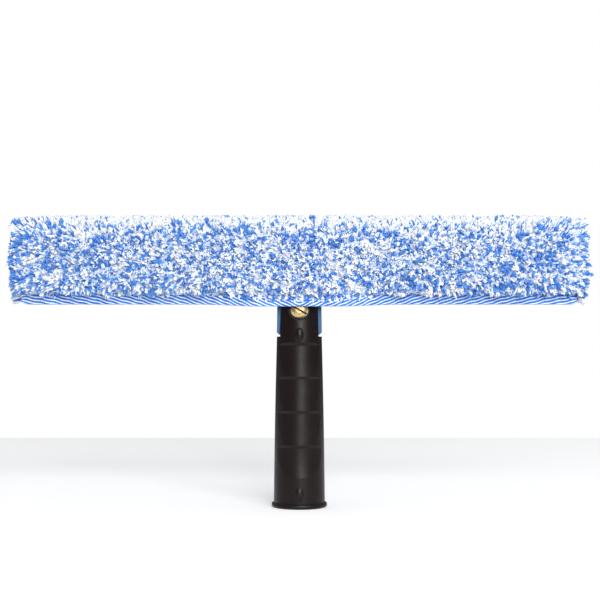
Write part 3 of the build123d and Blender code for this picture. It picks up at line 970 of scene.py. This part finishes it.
@dataclass
class Sleeve:
    """The washable sleeve: ground cloth, pile, sewn ends, striped borders and closing tapes."""

    body: str = "head_body"
    pile: float = 9.3 * MM
    end_pile: float = 6.2 * MM
    bed: float = 5.4 * MM
    ground: float = 1.2 * MM
    hem_thick: float = 2.4 * MM
    lock_pitch: float = 2.02 * MM
    lock_spread: float = 1.05 * MM
    round_way: float = 149 * MM
    blocks: int = 5
    thread_pitch: float = 1.9 * MM
    slant_near: float = tan(radians(25))
    slant_far: float = tan(radians(11))
    white: PileYarn = PileYarn(
        "pile_white", tint(214, 226, 248), tint(242, 247, 253), tint(255, 255, 255), 0.05
    )
    blue: PileYarn = PileYarn(
        "pile_blue", tint(30, 96, 192), tint(54, 130, 222), tint(134, 186, 244), 0.1
    )
    under: PileYarn = PileYarn(
        "pile_under",
        tint(196, 214, 244),
        tint(230, 240, 253),
        tint(252, 254, 255),
        sheen=0.2,
        fleck=tint(58, 128, 216),
    )
    waves: tuple[Triple, ...] = (
        (13.0, 17.0, 0.4),
        (21.0, -15.0, 2.1),
        (37.0, 29.0, 4.0),
        (9.5, 11.0, 1.3),
        (16.0, -43.0, 5.1),
    )
    bed_grid: tuple[int, int] = (229, 97)
    border_grid: tuple[int, int] = (421, 64)
    end_foot: float = 3.4 * MM
    crop: float = 10 * MM
    part_along: tuple[float, float] = (24 * MM, 4 * MM)
    part_round: tuple[float, float] = (26 * MM, 6 * MM)
    splay_edge: float = 12 * MM
    splay_end: float = 20 * MM
    gather: float = 60 * MM
    blue_share: float = 0.47
    blue_wander: float = 0.17
    blue_ends: float = 0.14
    white_crown: float = 0.42
    stray_share: float = 0.06
    knit: KnitBacking = KnitBacking()
    edge: TwillEdge = TwillEdge()
    hooks: WovenTape = WovenTape("hook_tape", tint(196, 200, 208), 1100.0)
    loops: WovenTape = WovenTape("loop_tape", tint(214, 218, 226), 800.0)
    seed: int = 7

    def __post_init__(self) -> None:
        """Takes the cloth's sizes from the frame."""
        self.random = np.random.default_rng(self.seed)
        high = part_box("sleeve_panel")[1]
        self.hem_low, self.hem_high = hem_low, hem_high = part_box("hem_front")
        self.end_x = high[0]
        self.cloth = Cloth(
            half_length=high[0],
            half_thick=high[1] - self.pile,
            top=high[2] - self.pile,
            hem_top=hem_high[2],
            shut=-hem_high[1] + self.ground,
            wide=-hem_low[1] - self.hem_thick + self.ground,
        )
        self.with_cloth: list[bpy.types.Object] = []

    def build(self) -> None:
        """Builds the sleeve and gathers its pile, beds, borders and tapes in a list."""
        panel = self.make_ground()
        tuft = Tuft()
        yarns = [self.white.make(), self.blue.make()]
        under = self.under.make()
        self.make_bed(under)
        edges = np.linspace(-self.end_x, self.end_x, self.blocks + 1)
        for side, (u_low, u_high) in (("front", (0.0, 0.5)), ("back", (0.5, 1.0))):
            for n in range(self.blocks):
                strands, dyed = self.plant(u_low, u_high, edges[n], edges[n + 1])
                self.lay(f"pile_{side}_{n + 1}", strands, dyed, tuft, yarns)
        for side, name in ((Side.LOW, "left"), (Side.HIGH, "right")):
            strands, dyed = self.plant_end(side)
            self.lay(f"pile_end_{name}", strands, dyed, tuft, yarns)
            self.make_end_bed(side, name, under)
            self.make_end(side, name)
        edge = self.edge.make()
        for side, name in ((Side.LOW, "front"), (Side.HIGH, "back")):
            border = self.make_border(f"border_{name}", side)
            dress(border, edge, self.body, "hem_cloth", f"hem_{name}")
            self.with_cloth.append(border)
        self.make_tapes()

    def make_ground(self) -> bpy.types.Object:
        """Makes the ground cloth, a sheet with its own thickness.

        Returns:
            The cloth.
        """
        cloth = self.cloth
        quads = grid_faces(cloth.rows, cloth.columns)
        loops = quads[:, ::-1].ravel()
        starts = np.arange(len(quads)) * 4
        panel = from_arrays("sleeve_ground", cloth.places.reshape(-1, 3), loops, starts)
        round_way = np.linspace(0, 1, cloth.columns)[None] * cloth.lengths[:, None]
        flat = np.dstack([np.repeat(cloth.along[:, None], cloth.columns, 1), round_way]).reshape(-1, 2)
        chart(panel, CLOTH_MAP, flat[loops])
        thicken(panel, self.ground)
        dress(panel, self.knit.make(), self.body, "pile_cloth", "sleeve_panel")
        return panel

    def stand(self, u: np.ndarray) -> np.ndarray:
        """How much of its full height the pile has at u: it is cropped beside the border."""
        return 0.38 + 0.62 * smooth(np.minimum(u, 1 - u) * self.round_way, 0.0, self.crop)

    def finish_bed(
        self, name: str, points: np.ndarray, closed: bool, flip: bool, yarn: bpy.types.Material
    ) -> None:
        """Makes one sheet of undergrowth from rows of points.

        Args:
            name: The piece's name.
            points: Its points, row by row.
            closed: Whether each row joins up with itself.
            flip: Whether its faces are turned over.
            yarn: What it is made of.
        """
        rows, columns = points.shape[:2]
        quads = grid_faces(rows, columns, closed)
        loops = (quads[:, ::-1] if flip else quads).ravel()
        starts = np.arange(len(quads)) * 4
        if closed:
            last = (rows - 1) * columns + np.arange(columns)
            loops = np.concatenate([loops, last[::-1] if flip else last])
            starts = np.append(starts, len(quads) * 4)
        bed = from_arrays(name, points.reshape(-1, 3), loops, starts)
        store(bed, "tone", self.random.uniform(0.1, 1.0, rows * columns))
        store(bed, "along", np.full(rows * columns, 0.5))
        dress(bed, yarn, self.body, "pile_cloth")
        self.with_cloth.append(bed)

    def make_bed(self, yarn: bpy.types.Material) -> None:
        """Makes the dense undergrowth that the panel's tufts stand out of.

        Args:
            yarn: What it is made of.
        """
        rows, columns = self.bed_grid
        x = np.repeat(np.linspace(-self.end_x, self.end_x, rows), columns)
        u = np.tile(np.linspace(0, 1, columns), rows)
        places, normals = self.cloth.at(u, x)
        thick = self.bed * self.stand(u) + self.random.normal(0, 0.4, len(u)) * MM * self.stand(u)
        thick *= smooth(np.minimum(u, 1 - u), -0.001, 0.02)
        points = (places + normals * thick[:, None]).reshape(rows, columns, 3)
        self.finish_bed("pile_bed", points, False, True, yarn)

    def make_end_bed(self, side: Side, name: str, yarn: bpy.types.Material) -> None:
        """Makes the undergrowth of one sewn end, rounded over its rim and closed in the middle.

        Args:
            side: Which end.
            name: The end's name.
            yarn: What it is made of.
        """
        u = np.linspace(0, 1, self.bed_grid[1])
        base, normals = self.cloth.at(u, np.full(len(u), side.value * self.end_x))
        normals[:, 0] = 0
        middle = np.array([0.0, 0.0, (self.cloth.hem_top + self.cloth.top) / 2])
        out = np.array([float(side.value), 0.0, 0.0])
        rows = []
        for turn in np.linspace(0, pi / 2, 5):
            thick = (self.bed * cos(turn) * self.stand(u))[:, None]
            rows.append(base + normals * thick + out * (0.8 * self.bed * sin(turn) - 0.5 * MM))
        rim = rows[-1] - middle
        rows += [middle + rim * (1, share, share) for share in np.linspace(0.9, 0.05, 10)]
        points = np.array(rows)
        points[1:] += self.random.normal(0, 0.3, points[1:].shape) * MM
        self.finish_bed(f"pile_bed_{name}", points, True, side is Side.HIGH, yarn)

    def drift(self, far: np.ndarray, round_way: np.ndarray) -> np.ndarray:
        """A slow wander of the pile, for its matted lean and the gathering of its colour.

        Args:
            far: Millimetres from the middle of the sleeve.
            round_way: Millimetres round the section.

        Returns:
            Three wandering values for each place, each about -1 to 1.
        """
        values = np.zeros((len(far), 3))
        for along, across, phase in self.waves:
            for k in range(3):
                turn = 2 * pi * (far / along * (1 - 0.13 * k) + round_way / across * (1 + 0.17 * k))
                values[:, k] += np.sin(turn + phase * (k + 1))
        return values / 2.6

    def plant(
        self, u_low: float, u_high: float, x_low: float, x_high: float
    ) -> tuple[Strands, np.ndarray]:
        """Sets out the locks of one patch of the panel.

        Args:
            u_low: Where the patch starts round the section.
            u_high: Where it ends.
            x_low: Where it starts along the crossbar.
            x_high: Where it ends.

        Returns:
            The tufts, and which of them are blue.
        """
        rows = int(round((x_high - x_low) / self.lock_pitch))
        columns = int(round((u_high - u_low) * self.round_way / self.lock_pitch))
        r, c = np.meshgrid(np.arange(rows), np.arange(columns), indexing="ij")
        jitter = self.random.uniform(0.02, 0.98, (2, rows * columns))
        x = x_low + (r.ravel() + jitter[0]) / rows * (x_high - x_low)
        u = u_low + (c.ravel() + jitter[1]) / columns * (u_high - u_low)
        roots, normals = self.cloth.at(u, x)
        from_edge = np.minimum(u, 1 - u) * self.round_way
        face = np.stack([np.zeros_like(x), np.sign(roots[:, 1]), np.zeros_like(x)], 1)
        low = smooth(from_edge, self.splay_edge, 0.0)[:, None]
        ways = normals * (1 - 0.7 * low) + face * 0.7 * low
        ways[:, 2] -= 0.9 * self.cloth.openness(x) * smooth(from_edge, 5 * MM, 0.0)
        near_end = smooth(np.abs(x), self.end_x - self.splay_end, self.end_x)
        ways[:, 0] += 0.5 * near_end * np.sign(x)
        ways /= np.linalg.norm(ways, axis=1, keepdims=True)
        wander = self.drift(np.abs(x) / MM, from_edge / MM)
        outward = smooth(np.abs(x), self.end_x - self.gather, self.end_x)
        combed = np.stack([wander[:, 0] + 1.6 * outward, wander[:, 1]], 1)
        parting = smooth(np.abs(x), *self.part_along) * smooth(from_edge, *self.part_round)
        combed[:, 1] -= 2.5 * parting
        combed *= np.stack([np.where(x < 0, -1, 1), np.where(roots[:, 1] < 0, 1, -1)], 1)
        crown = smooth(roots[:, 2], self.cloth.top - 6 * MM, self.cloth.top)
        blue = self.blue_share + self.blue_wander * wander[:, 2]
        blue = blue + self.blue_ends * outward - self.white_crown * crown
        return self.style(roots, ways, self.pile * self.stand(u), combed, blue)

    def plant_end(self, side: Side) -> tuple[Strands, np.ndarray]:
        """Sets out the locks of one sewn end.

        Args:
            side: Which end.

        Returns:
            The tufts, and which of them are blue.
        """
        outline = self.cloth.section(self.end_x)[0]
        low, high = outline.min(0), outline.max(0)
        step = self.lock_pitch * 0.95
        foot = self.hem_low[2] + self.end_foot
        y, z = np.meshgrid(np.arange(low[0], high[0], step), np.arange(foot, high[1], step))
        spots = np.stack([y.ravel(), z.ravel()], 1)
        spots += self.random.uniform(-0.45, 0.45, spots.shape) * step
        front = outline[: len(outline) // 2 + 1]
        half = np.interp(spots[:, 1], front[:, 1], -front[:, 0])
        half = np.where(spots[:, 1] < low[1], self.cloth.shut + self.ground, half)
        spots = spots[np.abs(spots[:, 0]) < half]
        x = side.value * (self.end_x + self.ground * 0.5)
        roots = np.column_stack([np.full(len(spots), x), spots])
        middle = np.array([0.0, (low[1] + high[1]) / 2])
        fan = np.clip((spots - middle) / (high - low) * 2, (-1, -0.45), 1)
        ways = np.column_stack([np.full(len(spots), float(side.value)), 0.62 * fan])
        ways /= np.linalg.norm(ways, axis=1, keepdims=True)
        wander = self.drift(spots[:, 0] / MM + 300, spots[:, 1] / MM)
        height = np.full(len(spots), self.end_pile)
        return self.style(roots, ways, height, 0.5 * wander[:, :2], 0.42 + 0.14 * wander[:, 2])

    def style(
        self,
        spots: np.ndarray,
        stands: np.ndarray,
        height: np.ndarray,
        combed: np.ndarray,
        blue: np.ndarray,
    ) -> tuple[Strands, np.ndarray]:
        """Fills every lock with tufts that lean together, each with its own curl, thickness and dye.

        Args:
            spots: Where the locks stand.
            stands: Which way each stands.
            height: How tall each may be.
            combed: The matted lean at each, along X and round the section.
            blue: How likely each is to be blue.

        Returns:
            The tufts, and which of them are blue.
        """
        random = self.random
        locks = len(spots)
        guide = np.where(np.abs(stands[:, :1]) < 0.7, (1.0, 0.0, 0.0), (0.0, 0.0, 1.0))
        along = guide - stands * (guide * stands).sum(1, keepdims=True)
        along /= np.linalg.norm(along, axis=1, keepdims=True)
        across = np.cross(stands, along)
        tall = height / self.pile
        angle = np.arctan2(combed[:, 1], combed[:, 0]) + random.normal(0, 0.75, locks)
        reach = random.uniform(0.6, 4.6, locks) * MM * tall
        lock_lean = np.stack([np.cos(angle), np.sin(angle)], 1) * reach[:, None]
        lock_blue = random.random(locks) < blue
        lock_rise = np.clip(random.normal(0.95, 0.05, locks), 0.8, 1.03)
        lock_tone = random.normal(0.55, 0.16, locks)

        of = np.repeat(np.arange(locks), random.integers(3, 6, locks))
        count = len(of)
        turn = random.uniform(0, 2 * pi, count)
        away = np.sqrt(random.uniform(0.02, 1, count)) * self.lock_spread
        away *= np.where(lock_blue[of], 0.85, 1.05)
        place = np.stack([np.cos(turn), np.sin(turn)], 1) * away[:, None]
        lean = lock_lean[of] - place * random.uniform(0.2, 0.65, (count, 1))
        lean += random.normal(0, 0.35, (count, 2)) * MM * tall[of, None]
        curl = random.normal(0, 0.55, (count, 2)) * MM

        def lift(flat: np.ndarray) -> np.ndarray:
            """Turns steps along and across into steps in space."""
            return along[of] * flat[:, :1] + across[of] * flat[:, 1:]

        stray = random.random(count) < self.stray_share
        dyed = lock_blue[of] ^ stray
        radii = np.where(dyed, 0.58, 0.62) * MM * random.uniform(0.82, 1.18, count)
        heights = height[of] * np.clip(lock_rise[of] + random.normal(0, 0.025, count), 0.75, 1.04)
        tones = np.clip(lock_tone[of] + random.normal(0, 0.14, count), 0, 1)
        roots = spots[of] + lift(place)
        return Strands(roots, stands[of], lift(lean), lift(curl), heights, radii, tones), dyed

    def lay(
        self, name: str, strands: Strands, dyed: np.ndarray, tuft: Tuft, yarns: list[bpy.types.Material]
    ) -> None:
        """Grows one patch, with blue tufts among the white ones.

        Args:
            name: The patch's name.
            strands: Its tufts.
            dyed: Which of them are blue.
            tuft: The modelled tuft.
            yarns: The white and the blue yarn.
        """
        patch = strands.grow(name, tuft)
        dress(patch, yarns[0], self.body, "pile_cloth")
        patch.data.materials.append(yarns[1])
        yarn_of_face = np.repeat(dyed, len(tuft.starts)).astype(np.int32)
        patch.data.polygons.foreach_set("material_index", yarn_of_face)
        self.with_cloth.append(patch)

    def make_end(self, side: Side, name: str) -> None:
        """Makes the ground of one sewn end, a flat oval of cloth.

        Args:
            side: Which end.
            name: The end's name.
        """
        outline = self.cloth.section(self.end_x)[0]
        x = side.value * self.end_x
        ring = np.column_stack([np.full(len(outline), x), outline])
        order = np.arange(len(ring)) if side is Side.LOW else np.arange(len(ring))[::-1]
        end = from_arrays(f"sleeve_end_ground_{name}", ring, order, np.array([0]))
        pick(end)
        open_up()
        bpy.ops.mesh.inset(thickness=1.5 * MM, depth=0.3 * MM)
        close_up()
        places = np.array([v.co for v in end.data.vertices])
        corners = [corner.vertex_index for corner in end.data.loops]
        chart(end, CLOTH_MAP, places[corners, 1:])
        thicken(end, self.ground)
        dress(end, self.knit.make(), self.body, "pile_cloth", f"sleeve_end_{name}")

    def border_section(self, around: int) -> tuple[np.ndarray, np.ndarray, float]:
        """One border's rounded section, spread evenly round its edge.

        Args:
            around: How many points it has.

        Returns:
            The points of Y and Z, how far round each lies, and the whole way round.
        """
        half = np.array([self.hem_thick, self.hem_high[2] - self.hem_low[2]]) / 2
        bend = 0.9 * MM
        turn = np.linspace(0, pi / 2, 9)
        corner = np.stack([np.cos(turn), np.sin(turn)], 1) * bend
        core = half - bend
        quarters = [(core + corner), ((core + corner) * (-1, 1))[::-1]]
        quarters += [-(core + corner), ((core + corner) * (1, -1))[::-1]]
        outline = np.concatenate([*quarters, quarters[0][:1]])
        way = np.concatenate([[0], np.cumsum(np.linalg.norm(np.diff(outline, axis=0), axis=1))])
        spots = np.linspace(0, way[-1], around, endpoint=False)
        section = np.stack([np.interp(spots, way, outline[:, k]) for k in (0, 1)], 1)
        return section, spots, float(way[-1])

    def make_border(self, name: str, side: Side) -> bpy.types.Object:
        """Makes one striped border, a thick edge wrapped in slanting threads that stand out from it.

        Args:
            name: The piece's name.
            side: Front or back.

        Returns:
            The border.
        """
        rows, around = self.border_grid
        x = np.linspace(-self.end_x, self.end_x, rows)
        far = np.abs(x)
        wide = self.cloth.openness(x)
        y = self.cloth.shut + (self.cloth.wide - self.cloth.shut) * wide
        drop = (0.35 - 1.1 * wide) * MM
        section, way, whole = self.border_section(around)
        pitch = whole / round(whole / self.thread_pitch)
        ease = (self.slant_near - self.slant_far) / (2 * self.end_x)
        fall = self.slant_near * far - ease * far**2
        wander = 0.1 * np.sin(far / MM * 0.7) + 0.08 * np.sin(far / MM * 0.23 + 1)
        phase = (way[None] - fall[:, None]) / pitch + wander[:, None]
        wave = 0.5 + 0.5 * np.cos(2 * pi * phase)
        bulge = 0.3 * MM * (np.abs(np.sin(pi * phase)) ** 0.7 - 0.6)
        out = section / np.linalg.norm(section, axis=1, keepdims=True)
        taper = 0.6 + 0.4 * smooth(far, self.end_x, self.end_x - 3 * MM)
        ring = (section[None] + bulge[..., None] * out[None]) * taper[:, None, None]
        middle = (self.hem_low[2] + self.hem_high[2]) / 2
        across = side.value * (y[:, None] + ring[..., 0])
        upward = middle + drop[:, None] + ring[..., 1]
        points = np.dstack([np.repeat(x[:, None], around, 1), across, upward])
        quads = grid_faces(rows, around, closed=True)
        caps = np.array([np.arange(around)[::-1], (rows - 1) * around + np.arange(around)])
        if side is Side.LOW:
            quads, caps = quads[:, ::-1], caps[:, ::-1]
        loops = np.concatenate([quads.ravel(), caps.ravel()])
        starts = np.concatenate([np.arange(len(quads)) * 4, len(quads) * 4 + np.arange(2) * around])
        border = from_arrays(name, points.reshape(-1, 3), loops, starts)
        store(border, "thread", wave.ravel())
        return border

    def make_tapes(self) -> None:
        """Makes the hook and loop tapes that close the sleeve, each with rounded, bound edges."""
        finishes = {"hook": self.hooks.make(), "loop": self.loops.make()}
        for kind, material in finishes.items():
            for hand in ("left", "right"):
                node = f"{kind}_strip_{hand}"
                low, high = (np.array(corner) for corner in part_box(node))
                deselect()
                middle, size = (low + high) / 2, high - low
                bpy.ops.mesh.primitive_cube_add(size=1, location=tuple(middle), scale=tuple(size))
                tape = bpy.context.object
                tape.name = f"{kind}_tape_{hand}"
                bpy.ops.object.transform_apply(location=True, rotation=True, scale=True)
                open_up()
                bpy.ops.mesh.bevel(offset=0.35 * MM, segments=3, affect="EDGES")
                close_up()
                bpy.ops.object.shade_smooth_by_angle(angle=radians(35))
                dress(tape, material, self.body, f"{kind}_tape", node)
                self.with_cloth.append(tape)


# ---- studio --------------------------------------------------------------------------------------
@dataclass(frozen=True)
class SoftBox:
    """A rectangular soft light that faces the washer."""

    name: str
    place: Triple
    size: tuple[float, float]
    radiance: float
    target: Triple = (0.0, 0.0, 0.12)

    def hang(self) -> None:
        """Hangs the light."""
        deselect()
        bpy.ops.object.light_add(type="AREA", location=self.place)
        lamp = bpy.context.object
        lamp.name = self.name
        lamp.data.shape = "RECTANGLE"
        lamp.data.size, lamp.data.size_y = self.size
        lamp.data.energy = self.radiance * pi * self.size[0] * self.size[1]
        way = Vector(self.target) - Vector(self.place)
        lamp.rotation_euler = way.to_track_quat("-Z", "Y").to_euler()
        lamp.visible_camera = False


@dataclass
class Studio:
    """Pale paper, soft lights and the camera."""

    distance: float = 1.004
    height: float = 0.1277
    aside: float = 0.0004
    lens: float = 97.4
    paper: SeamlessPaper = SeamlessPaper()
    paper_size: tuple[float, float] = (1.6, 0.9)
    paper_back: float = 0.05
    boxes: tuple[SoftBox, ...] = (
        SoftBox("top_box", (0.0, 0.1, 1.5), (2.0, 1.4), 0.1),
        SoftBox("key_box", (0.5, -1.9, 0.98), (1.5, 0.9), 7.6),
        SoftBox("front_box", (0.3, -2.0, 0.52), (0.36, 0.5), 19.5),
    )
    side_air: float = 0.06
    upper_air: float = 0.42
    back_air: float = 0.1

    def build(self) -> None:
        """Sets up the studio."""
        self.lay_paper()
        for box in self.boxes:
            box.hang()
        self.fill_air()
        self.aim_camera()
        bpy.context.scene.view_settings.view_transform = "Standard"

    def lay_paper(self) -> None:
        """Lays the paper that the washer stands on."""
        deselect()
        bpy.ops.mesh.primitive_plane_add(size=1, location=(0, 0, 0))
        floor = bpy.context.object
        floor.name = "paper_floor"
        open_up()
        bpy.ops.transform.resize(value=(*self.paper_size, 1))
        bpy.ops.transform.translate(value=(0, self.paper_back, 0))
        close_up()
        floor.data.materials.append(self.paper.make())

    def fill_air(self) -> None:
        """Fills the studio with soft light: dim at the sides, brighter above and behind."""
        tree = Tree("studio_air", "worlds")
        toward = tree.add("ShaderNodeTexCoord", out="Generated")
        back, above = tree.axis(toward, "Y"), tree.axis(toward, "Z")
        strength = self.side_air + above.between(0.08, 0.5) * self.upper_air
        strength = (strength + back.between(0.3, 0.9) * self.back_air) * above.between(-0.3, 0.0)
        cool, plain = (0.97, 0.985, 1.0), (1.0, 1.0, 1.0)
        lit = tree.add("ShaderNodeBackground", sockets={"Color": cool, "Strength": strength})
        seen = tree.add("ShaderNodeBackground", sockets={"Color": plain, "Strength": 1.0})
        straight = tree.add("ShaderNodeLightPath", out="Is Camera Ray")
        air = tree.add("ShaderNodeMixShader", sockets={0: straight, 1: lit, 2: seen})
        tree.add("ShaderNodeOutputWorld", sockets={"Surface": air}, out=None)
        bpy.context.scene.world = tree.owner

    def aim_camera(self) -> None:
        """Sets the camera level, straight in front."""
        deselect()
        spot = (self.aside, -self.distance, self.height)
        bpy.ops.object.camera_add(location=spot, rotation=(pi / 2, 0, 0))
        camera = bpy.context.object
        camera.name = "front_camera"
        camera.data.lens = self.lens
        camera.data.sensor_width = 36
        camera.data.clip_start = 0.05
        bpy.context.scene.camera = camera


def main() -> None:
    """Builds the studio and every sub-assembly."""
    logging.basicConfig(level=logging.INFO, format="%(message)s")
    Studio().build()
    Handle().build()
    Head().build()
    Sleeve().build()


if __name__ == "__main__":
    main()
